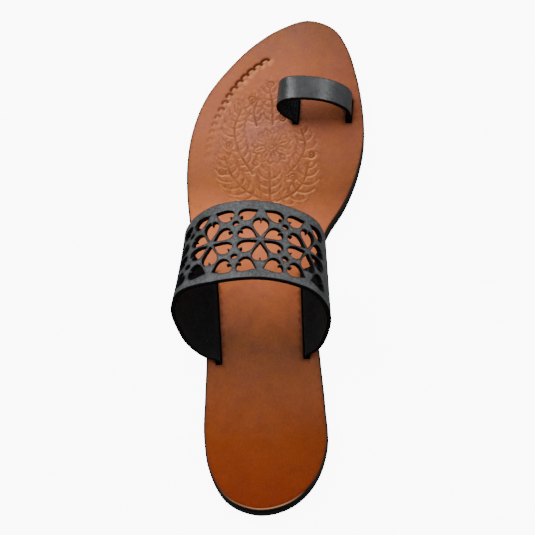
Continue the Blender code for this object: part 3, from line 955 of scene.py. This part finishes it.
def black_suede(settings, speck_amount):
    """The inside of a strap: black nap that catches a little light, with pale bluish grey specks scattered
    over it, as many as asked for."""
    finish = Finish("black_suede")
    nap = finish.noise(0.5, 4.0, 0.75)
    clouds = finish.noise(5.0, 3.0, 0.6, distortion=0.4)
    colour = finish.tint(settings.suede_colour, finish.spread(nap, 0.3, 0.75, 0.5, 1.7))
    colour = finish.tint(colour, finish.spread(clouds, 0.3, 0.7, 0.8, 1.3))
    # Pale bluish grey specks scattered over the nap by noise
    specks = finish.spread(finish.noise(1.1, 3.0, 0.7), 0.52, 0.70, 0.0, speck_amount)
    colour = finish.mix(specks, colour, settings.speck_colour)
    normal = finish.bump(nap, 0.12)
    return finish.done(colour, 0.95, normal, Specular_IOR_Level=0.12, Sheen_Weight=0.02, Sheen_Roughness=0.6)


def black_rubber(settings):
    """Black sole rubber, dull, with a fine moulded grain and soft clouding."""
    finish = Finish("black_rubber")
    grain = finish.noise(0.7, 3.0, 0.7)
    clouds = finish.noise(12.0, 3.0, 0.6)
    colour = finish.tint(settings.rubber_colour, finish.spread(clouds, 0.3, 0.7, 0.85, 1.2))
    colour = finish.tint(colour, finish.spread(grain, 0.3, 0.7, 0.85, 1.15))
    normal = finish.bump(grain, 0.05)
    return finish.done(colour, finish.spread(clouds, 0.3, 0.7, 0.6, 0.72), normal, Specular_IOR_Level=0.2)


def straps():
    """The instep band and the toe loop."""
    band = StrapForm(BAND_REAR_FEET, BAND_FRONT_FEET, BAND_SECTIONS, BAND_LEAN, BAND_TAB, BAND_THICKNESS)
    loop = StrapForm(LOOP_REAR_FEET, LOOP_FRONT_FEET, LOOP_SECTIONS, LOOP_LEAN, LOOP_TAB, LOOP_THICKNESS)
    return band, loop


def colour_of(name, description, red, green, blue):
    """A colour that a user may change, in linear light."""
    return FloatVectorProperty(
        name=name, description=description, default=(red, green, blue, 1.0),
        size=4, min=0.0, max=1.0, subtype="COLOR")


def length_of(name, description, metres, low, high):
    """A length that a user may change, and the range in which the piece stays whole."""
    return FloatProperty(
        name=name, description=description, default=metres, min=low, max=high,
        unit="LENGTH", precision=5)


def power_of(name, description, watts):
    """The power of a light."""
    return FloatProperty(
        name=name, description=description, default=watts, min=0.0, max=200.0, unit="POWER")


def share_of(name, description, share):
    """The roughness of a finish."""
    return FloatProperty(
        name=name, description=description, default=share, min=0.1, max=0.9, subtype="FACTOR")


def point_of(name, description, *place):
    """A place in the frame, in metres."""
    return FloatVectorProperty(
        name=name, description=description, default=place,
        size=3, subtype="TRANSLATION", unit="LENGTH", precision=4)


class SandalFootbedSettings(bpy.types.PropertyGroup):
    """Sizes and colours of the footbed"""

    edge_radius: length_of(
        "Edge rounding", "Radius of the footbed's upper edge", 0.0008, 0.0002, 0.0014)
    stamp_count: IntProperty(
        name="Punched arches", description="How many arches the row along the outer edge has",
        default=15, min=4, max=40)
    stamp_depth: length_of("Arch depth", "Depth of the deepest punched arch", 0.00045, 0.0, 0.001)
    ornament_depth: length_of(
        "Ornament depth", "Depth of the pressed flower spray", 0.00028, 0.0, 0.001)
    line_width: length_of("Line width", "Width of the ornament's pressed lines", 0.00095, 0.0004, 0.002)
    heel_edge_colour: colour_of("Heel edge", "Leather colour at the very heel", 0.1998, 0.0223, 0.0006)
    heel_colour: colour_of("Heel", "Leather colour at the heel", 0.2183, 0.0391, 0.0032)
    # Partly painted: light that falls under the instep band, painted over the leather's own tone.
    waist_colour: colour_of("Waist", "Leather colour under the instep, lightened with painted light under the band", 0.6631, 0.1859, 0.0718)
    # Partly painted: a painted shadow of the instep band over the leather's own tone.
    band_shadow_colour: colour_of(
        "Band shadow", "Leather colour just behind the instep band, darkened with a painted band shadow", 0.2401, 0.0791, 0.0331)
    ball_colour: colour_of(
        "Before the band", "Leather colour just in front of the instep band", 0.3305, 0.1007, 0.0332)
    forefoot_colour: colour_of(
        "Forefoot", "Leather colour under the ball of the foot", 0.3972, 0.1266, 0.0599)
    toe_colour: colour_of("Toe", "Leather colour at the toe", 0.2385, 0.0917, 0.0519)
    pressed_colour: colour_of(
        "Pressed lines", "Colour that the ornament's lines darken towards", 0.16, 0.045, 0.014)
    # Colour of the painted highlights beside the ornament's lines
    ridge_highlight_colour: colour_of(
        "Ridge highlights", "Colour of the painted highlights on the ridges beside the ornament's lines", 0.88, 0.38, 0.15)
    stamp_colour: colour_of(
        "Punched marks", "Colour at the bottom of the punched arches", 0.06, 0.009, 0.0006)
    rim_colour: colour_of("Rim", "Colour of the dark line round the footbed", 0.035, 0.012, 0.005)
    # Colour of a painted highlight on the heel's upper corner
    corner_highlight_colour: colour_of(
        "Corner highlight", "Colour of the painted highlight on the upper corner at the heel", 0.527, 0.264, 0.13)
    edge_colour: colour_of("Cut edge", "Colour of the footbed's rubbed edge", 0.012, 0.007, 0.005)


class SandalOutsoleSettings(bpy.types.PropertyGroup):
    """Tread and colour of the outsole"""

    tread_pitch: length_of(
        "Tread pitch", "Distance from one tread rib to the next", 0.0042, 0.002, 0.01)
    tread_depth: length_of("Tread depth", "Depth of the grooves between the ribs", 0.0005, 0.0, 0.0012)
    rubber_colour: colour_of("Rubber", "Colour of the sole rubber", 0.006, 0.0065, 0.0075)


class SandalStrapSettings(bpy.types.PropertyGroup):
    """Sizes and colours of the instep band and the toe loop"""

    flower_pitch: length_of(
        "Flower pitch", "Distance from one flower to the next along the band", 0.02185, 0.0215, 0.026)
    petal_start: length_of(
        "Petal start", "Distance from a flower's centre to the point of a petal", 0.0016, 0.0012, 0.003)
    petal_length: length_of(
        "Petal length", "Length of each petal-shaped opening", 0.00905, 0.005, 0.0092)
    petal_half_width: length_of(
        "Petal half width", "Half the width of each petal-shaped opening", 0.0034, 0.0015, 0.0035)
    dot_radius: length_of(
        "Round hole", "Radius of the round holes between the flowers", 0.0014, 0.0005, 0.0016)
    edge_radius: length_of(
        "Edge rounding", "Radius of the straps' long outer edges", 0.0003, 0.0001, 0.0005)
    opening_radius: length_of(
        "Opening rounding", "Radius of the upper edge of the band's openings", 0.0001, 0.00005, 0.0002)
    grain_colour: colour_of(
        "Band grain side", "Colour of the outside of the instep band", 0.056, 0.060, 0.062)
    cut_colour: colour_of(
        "Cut edges", "Colour of the burnt edges of the openings", 0.003, 0.003, 0.0035)
    loop_colour: colour_of(
        "Loop grain side", "Colour of the outside of the toe loop", 0.037, 0.0395, 0.0415)
    suede_colour: colour_of("Inside", "Colour of the nap inside the straps", 0.008, 0.008, 0.0085)
    speck_colour: colour_of(
        "Nap specks", "Colour of the pale specks inside the straps", 0.10, 0.13, 0.16)
    roughness: share_of("Band roughness", "Roughness of the instep band's grain side", 0.48)
    loop_roughness: share_of("Loop roughness", "Roughness of the toe loop's smoother grain side", 0.31)


class SandalStageSettings(bpy.types.PropertyGroup):
    """Floor, lights and camera"""

    floor_colour: colour_of("Floor", "Colour of the studio floor", 0.9, 0.9, 0.9)
    world_strength: FloatProperty(
        name="Room light", description="Strength of the even light from all round",
        default=0.17, min=0.0, max=10.0)
    floor_glow: FloatProperty(
        name="Floor glow", description="Light that the pale floor gives off itself",
        default=9.0, min=0.0, max=20.0)
    overhead_power: power_of("Overhead light", "Power of the broad soft light over the forefoot", 2.0)
    outer_key_power: power_of(
        "Outer key light", "Power of the long soft light over the outer side", 5.0)
    inner_key_power: power_of(
        "Inner key light", "Power of the long soft light over the inner side", 2.6)
    rear_power: power_of("Rear light", "Power of the soft light over the heel", 1.2)
    toe_power: power_of("Toe light", "Power of the soft light in front of the toe", 0.7)
    fill_power: power_of("Side lights", "Power of the soft light on each side", 2.2)
    camera_at: point_of("Camera", "Where the camera stands", 0.04886, -0.20935, 0.5107)
    camera_aim: point_of("Aim", "The point that the camera looks at", 0.0023, -0.0149, 0.019)
    camera_roll: FloatProperty(
        name="Roll", description="How far the camera is rolled clockwise",
        default=math.radians(9.29), subtype="ANGLE", unit="ROTATION")
    lens: FloatProperty(
        name="Lens", description="Focal length in millimetres", default=76.4, min=20, max=200)


class SANDAL_OT_outsole(bpy.types.Operator):
    """Builds the black rubber outsole with its wavy tread and the pockets for the straps' tabs"""

    bl_idname = "sandal.outsole"
    bl_label = "Outsole"

    def execute(self, context):
        settings = context.scene.sandal_outsole
        outline = sole_outline(OUTSOLE_MARGIN, HEEL_MARGIN, 1.0)
        pocket_floor = TAB_HEIGHT - TAB_THICKNESS / 2 - TAB_CLEARANCE
        pockets = []
        for strap in straps():
            reach = 2 * TAB_CLEARANCE + strap.tab + FOLD_RADIUS
            pockets += [foot_loop(strap, end, SLOT_WIDTH / 2, reach, SLOT_SPARE, 1.0) for end in (0, 1)]
        turn = np.linspace(0, math.pi / 2, 4)[1:]
        side_insets, side_levels = zip(*OUTSOLE_SIDE)
        insets = np.concatenate((side_insets, OUTSOLE_LOWER_RADIUS * (1 - np.cos(turn))))
        levels = np.concatenate((side_levels, OUTSOLE_LOWER_RADIUS * (1 - np.sin(turn))))
        levels[-1] = 0.0
        skin = Skin()
        low, high = outline.min(axis=0), outline.max(axis=0)
        top, bottom = drawn_in(outline, insets[0]), drawn_in(outline, insets[-1])
        inner = inside_points(lattice(low, high, 3.0), [top] + pockets, 1.2)
        skin.add_sheet([top] + pockets, inner, OUTSOLE_TOP, 0)
        for pocket in pockets:
            skin.add(*wall_patch(pocket, (0.0, 0.0), (OUTSOLE_TOP, pocket_floor)), 0)
            skin.add_sheet([pocket[::-1]], np.empty((0, 2)), pocket_floor, 0)
        skin.add(*wall_patch(outline, insets, levels), 0)
        inner = inside_points(lattice(low, high, 0.75), [bottom], 0.6)
        skin.add_sheet([bottom], inner, 0.0, 0, True)
        pitch, depth = settings.tread_pitch / MM, settings.tread_depth / MM

        def place(flat):
            """Ribs across the sole that wave along it, inside a plain border. Their height is
            a clipped sine wave, and the whole sole is lifted at the waist and toe."""
            x, y, z = flat.T
            points = np.column_stack((x, y, z))
            under = z < 1e-6
            distance, _ = nearest(flat[under][:, :2], outline)
            bent = y[under] + TREAD_WAVE * np.sin(2 * math.pi * x[under] / TREAD_WAVE_LENGTH)
            wave = np.sin(2 * math.pi * bent / pitch)
            border = np.clip((distance - TREAD_BORDER) / 0.8, 0, 1)
            points[under, 2] += depth * border * np.clip(wave * 1.6 + 0.3, 0, 1)
            points[:, 2] += waist_lift(y) * (1 - z / OUTSOLE_TOP) + toe_lift(y)
            return points - np.array((CENTRE[0], CENTRE[1], 0.0))

        piece = skin.weld("outsole_rubber", place, {}, [black_rubber(settings)])
        into_frame(piece, "outsole")
        return {"FINISHED"}


class SANDAL_OT_footbed(bpy.types.Operator):
    """Builds the tan leather footbed with its slots, punched arches and flower spray"""

    bl_idname = "sandal.footbed"
    bl_label = "Footbed"

    def execute(self, context):
        settings = context.scene.sandal_footbed
        thickness = FOOTBED_TOP - FOOTBED_BOTTOM
        edge = rounded_edge(settings.edge_radius / MM, FOOTBED_LOWER_RADIUS, thickness)
        outline = sole_outline(0.0, 0.0, 0.9)
        slots = [
            foot_loop(strap, end, SLOT_WIDTH / 2, SLOT_WIDTH / 2, SLOT_SPARE, 0.8)
            for strap in straps() for end in (0, 1)
        ]
        ornament, strength = ornament_strokes()
        marks, fade = stamp_strokes(settings.stamp_count)
        low, high = outline.min(axis=0), outline.max(axis=0)
        fine = lattice(ornament.min(axis=0) - 1.5, ornament.max(axis=0) + 1.5, 0.4)
        fine = fine[nearest(fine, ornament)[0] < 1.7]
        finest = lattice(marks.min(axis=0) - 2.5, marks.max(axis=0) + 2.5, 0.3)
        finest = finest[nearest(finest, marks)[0] < 1.5]
        fine = fine[nearest(fine, finest)[0] > 0.35]
        coarse = lattice(low, high, 2.2)
        detail = np.concatenate((fine, finest))
        coarse = coarse[nearest(coarse, detail)[0] > 1.1]
        loops = [outline] + slots
        grown = [drawn_in(loop, edge[0][0]) for loop in loops]
        top_inner = inside_points(np.concatenate((detail, coarse)), grown, 0.45)
        bottom_inner = inside_points(lattice(low, high, 4.0), grown, 1.6)
        skin = Skin()
        slot_edge = (np.where(edge[1] > 0, edge[0] * 0.5, 0.0), edge[1])
        skin.add_plate(loops, [edge] + [slot_edge] * len(slots), top_inner, bottom_inner)
        width = settings.line_width / MM
        found = {}

        def reach(flat, lines):
            """Distance from each point to the nearest point of those lines, the way from
            there, and its index. It is worked out once for each set of lines, because every
            call has the same flat points."""
            if id(lines) not in found:
                distance, index = nearest(flat[:, :2], lines)
                found[id(lines)] = (distance, flat[:, :2] - lines[index], index)
            return found[id(lines)]

        def relief(flat):
            """How far each point of the top is pressed in, in millimetres: the section of a
            groove, as deep as its line is strong."""
            distance, _, index = reach(flat, ornament)
            pressed = settings.ornament_depth / MM * strength[index] * groove(distance, width)
            distance, _, index = reach(flat, marks)
            wider = 0.8 + 0.75 * fade[index]
            pressed += settings.stamp_depth / MM * fade[index] * groove(distance, wider)
            return np.where(flat[:, 2] > 0.4999, pressed, 0.0)

        def place(flat):
            """The flat plate raised to its level, less the relief, and lifted at the toe."""
            z = FOOTBED_BOTTOM + (flat[:, 2] + 0.5) * thickness + toe_lift(flat[:, 1]) - relief(flat)
            return np.column_stack((flat[:, 0] - CENTRE[0], flat[:, 1] - CENTRE[1], z))

        def carved(flat):
            """The bottom of the pressed lines, falling off as a bell curve."""
            distance, _, index = reach(flat, ornament)
            return strength[index] * np.exp(-(distance / (0.5 * width)) ** 2)

        def ridge_highlight(flat):
            """A painted highlight on the ridge behind each pressed line, on the side away from the toe, and
            on the lip behind each punched arch, both with the section of a bell curve."""
            distance, away, index = reach(flat, ornament)
            facing = (away @ np.array((0.3, -0.95))) / np.maximum(distance, 1e-6)
            section = np.exp(-((distance - 0.95 * width) / (0.4 * width)) ** 2)
            ridge = strength[index] * section * np.clip(facing, 0, 1)
            distance, away, index = reach(flat, marks)
            behind = (away @ np.array((0.7, -0.71))) / np.maximum(distance, 1e-6)
            section = np.exp(-((distance - 1.25) / 0.45) ** 2)
            return np.maximum(ridge, 1.5 * fade[index] * section * np.clip(behind - 0.3, 0, 1))

        def tooled(flat):
            """The matted ground between the lines, which ends within 4 mm of them."""
            return np.clip(1.6 - reach(flat, ornament)[0] / 2.5, 0, 1)

        def stamped(flat):
            """The bottom of the punched arches, narrower where they are fainter."""
            distance, _, index = reach(flat, marks)
            bottom = 1.2 * np.exp(-(distance / (0.58 + 0.2 * fade[index])) ** 2)
            return fade[index] * np.clip(bottom, 0, 1)

        def rim(flat):
            """The dark line along the outline and round the slots."""
            distance, _ = nearest(flat[:, :2], np.concatenate(loops))
            return np.clip(1 - distance / 1.3, 0, 1) ** 1.4

        values = {"carved": carved, "ridge_highlight": ridge_highlight, "tooled": tooled, "stamped": stamped, "rim": rim}
        finishes = [tan_leather_top(settings), tan_leather_edge(settings), tan_leather_underside(settings)]
        piece = skin.weld("footbed_leather", place, values, finishes)
        into_frame(piece, "footbed")
        return {"FINISHED"}


def strap_piece(name, node, strap, openings, spacing, settings, grain, speck_amount):
    """A strap cut from the flat, with rounded edges, then bent over the footbed."""
    edges = [rounded_edge(settings.edge_radius / MM, STRAP_LOWER_RADIUS, strap.thickness)]
    opening_edge = rounded_edge(settings.opening_radius / MM, OPENING_LOWER_RADIUS, strap.thickness, 2)
    edges += [opening_edge] * len(openings)
    loops = [strap.outline(0.8)] + openings
    low, high = (0.0, -strap.width / 2), (strap.length, strap.width / 2)
    grown = [drawn_in(loop, edge[0][0]) for loop, edge in zip(loops, edges)]
    inner = inside_points(lattice(low, high, spacing), grown, spacing * 0.45)
    skin = Skin()
    skin.add_plate(loops, edges, inner, inner)
    boundary = np.concatenate(loops)

    def burnt(flat):
        """The dark line along every cut, 0.5 mm wide."""
        return np.clip(1 - nearest(flat[:, :2], boundary)[0] / 0.5, 0, 1)

    finishes = [grain, black_leather_cut(settings), black_suede(settings, speck_amount)]
    piece = skin.weld(name, strap.place, {"burnt": burnt}, finishes)
    into_frame(piece, node)


class SANDAL_OT_instep_band(bpy.types.Operator):
    """Builds the instep band, cut with rows of flowers"""

    bl_idname = "sandal.instep_band"
    bl_label = "Instep band"

    def execute(self, context):
        settings = context.scene.sandal_straps
        band = straps()[0]
        openings = band_openings(settings, band.leg)
        grain = black_leather_grain(settings, settings.grain_colour, settings.roughness, 1.0)
        strap_piece("instep_band_leather", "instep_band", band, openings, 1.1, settings, grain, 0.06)
        return {"FINISHED"}


class SANDAL_OT_toe_loop(bpy.types.Operator):
    """Builds the narrow loop for the big toe"""

    bl_idname = "sandal.toe_loop"
    bl_label = "Toe loop"

    def execute(self, context):
        settings = context.scene.sandal_straps
        grain = black_leather_grain(settings, settings.loop_colour, settings.loop_roughness, 0.3)
        strap_piece("toe_loop_leather", "toe_loop", straps()[1], [], 0.8, settings, grain, 0.5)
        return {"FINISHED"}


def soft_light(name, place, aim, size, power):
    """A soft light that faces a point. Its size is given across the shoe and along it."""
    lamp = bpy.data.lights.new(name, "AREA")
    lamp.shape = "RECTANGLE"
    lamp.size, lamp.size_y = size
    lamp.energy = power
    light = bpy.data.objects.new(name, lamp)
    light.location = place
    away = (Vector(place) - Vector(aim)).normalized()
    along = (Vector((0.0, 1.0, 0.0)) - away * away.y).normalized()
    light.rotation_euler = Matrix((along.cross(away), along, away)).transposed().to_euler()
    bpy.context.scene.collection.objects.link(light)


def floor_surface(settings):
    """The floor is a square of plain pale board. It is level out to 0.7 of the way to its
    edges, and past that it curves up as the square of the distance."""
    side = np.linspace(-1, 1, FLOOR_STEPS + 1)
    u, v = np.meshgrid(side, side)
    reach = np.maximum(np.abs(u), np.abs(v))
    height = FLOOR_RISE * np.clip((reach - 0.7) / 0.3, 0, 1) ** 2
    points = np.column_stack((u.ravel() * FLOOR_HALF, v.ravel() * FLOOR_HALF, height.ravel()))
    step = np.arange(FLOOR_STEPS)
    corner = (step[:, None] * len(side) + step).ravel()
    faces = np.column_stack((corner, corner + 1, corner + len(side) + 1, corner + len(side)))
    mesh = bpy.data.meshes.new("studio_floor")
    mesh.from_pydata(points.tolist(), [], faces.tolist())
    mesh.shade_smooth()
    finish = Finish("studio_floor")
    board = finish.noise(60.0, 2.0)
    colour = finish.tint(settings.floor_colour, finish.spread(board, 0.3, 0.7, 0.995, 1.0))
    mesh.materials.append(finish.done(
        colour, 0.9, finish.bump(board, 0.02), Specular_IOR_Level=0.1,
        Emission_Color=(1.0, 1.0, 1.0, 1.0), Emission_Strength=settings.floor_glow))
    floor = bpy.data.objects.new("studio_floor", mesh)
    bpy.context.scene.collection.objects.link(floor)
    floor.visible_diffuse = False
    floor.visible_glossy = False


class SANDAL_OT_stage(bpy.types.Operator):
    """Sets the pale floor, the soft studio lights and the camera"""

    bl_idname = "sandal.stage"
    bl_label = "Stage"

    def execute(self, context):
        settings = context.scene.sandal_stage
        floor_surface(settings)
        for name, power, share, place, aim, size in STUDIO_LIGHTS:
            soft_light(name, place, aim, size, getattr(settings, power) * share)
        world = bpy.data.worlds.new("studio_room")
        world.use_nodes = True
        room = world.node_tree.nodes["Background"]
        room.inputs["Color"].default_value = (1.0, 1.0, 1.0, 1.0)
        room.inputs["Strength"].default_value = settings.world_strength
        context.scene.world = world
        camera = bpy.data.objects.new("camera", bpy.data.cameras.new("camera"))
        camera.location = settings.camera_at
        aim = Vector(settings.camera_aim) - Vector(settings.camera_at)
        turned = aim.to_track_quat("-Z", "Y").to_matrix() @ Matrix.Rotation(-settings.camera_roll, 3, "Z")
        camera.rotation_euler = turned.to_euler()
        camera.data.lens = settings.lens
        camera.data.sensor_width = 36.0
        camera.data.clip_start, camera.data.clip_end = 0.01, 20.0
        context.scene.collection.objects.link(camera)
        context.scene.camera = camera
        return {"FINISHED"}


class SANDAL_PT_panel(bpy.types.Panel):
    """Lists the sandal's pieces and their sizes and colours"""

    bl_label = "Leather sandal"
    bl_idname = "SANDAL_PT_panel"
    bl_space_type = "VIEW_3D"
    bl_region_type = "UI"
    bl_category = "Sandal"

    def draw(self, context):
        scene = context.scene
        groups = (
            (scene.sandal_outsole, (SANDAL_OT_outsole,)),
            (scene.sandal_footbed, (SANDAL_OT_footbed,)),
            (scene.sandal_straps, (SANDAL_OT_instep_band, SANDAL_OT_toe_loop)),
            (scene.sandal_stage, (SANDAL_OT_stage,)),
        )
        for settings, operators in groups:
            box = self.layout.box()
            for operator in operators:
                box.operator(operator.bl_idname)
            for name in settings.__annotations__:
                box.prop(settings, name)


CLASSES = (
    SandalFootbedSettings,
    SandalOutsoleSettings,
    SandalStrapSettings,
    SandalStageSettings,
    SANDAL_OT_outsole,
    SANDAL_OT_footbed,
    SANDAL_OT_instep_band,
    SANDAL_OT_toe_loop,
    SANDAL_OT_stage,
    SANDAL_PT_panel,
)


SETTINGS = {
    "sandal_footbed": SandalFootbedSettings,
    "sandal_outsole": SandalOutsoleSettings,
    "sandal_straps": SandalStrapSettings,
    "sandal_stage": SandalStageSettings,
}


def register():
    """Adds the classes to Blender, and their settings to the scene."""
    for made in CLASSES:
        bpy.utils.register_class(made)
    for name, kind in SETTINGS.items():
        setattr(bpy.types.Scene, name, PointerProperty(type=kind))


def unregister():
    """Takes the settings and the classes out again."""
    for name in SETTINGS:
        delattr(bpy.types.Scene, name)
    for made in reversed(CLASSES):
        bpy.utils.unregister_class(made)


def main():
    """Builds the whole sandal and its stage."""
    register()
    bpy.ops.sandal.outsole()
    bpy.ops.sandal.footbed()
    bpy.ops.sandal.instep_band()
    bpy.ops.sandal.toe_loop()
    bpy.ops.sandal.stage()


if __name__ == "__main__":
    main()
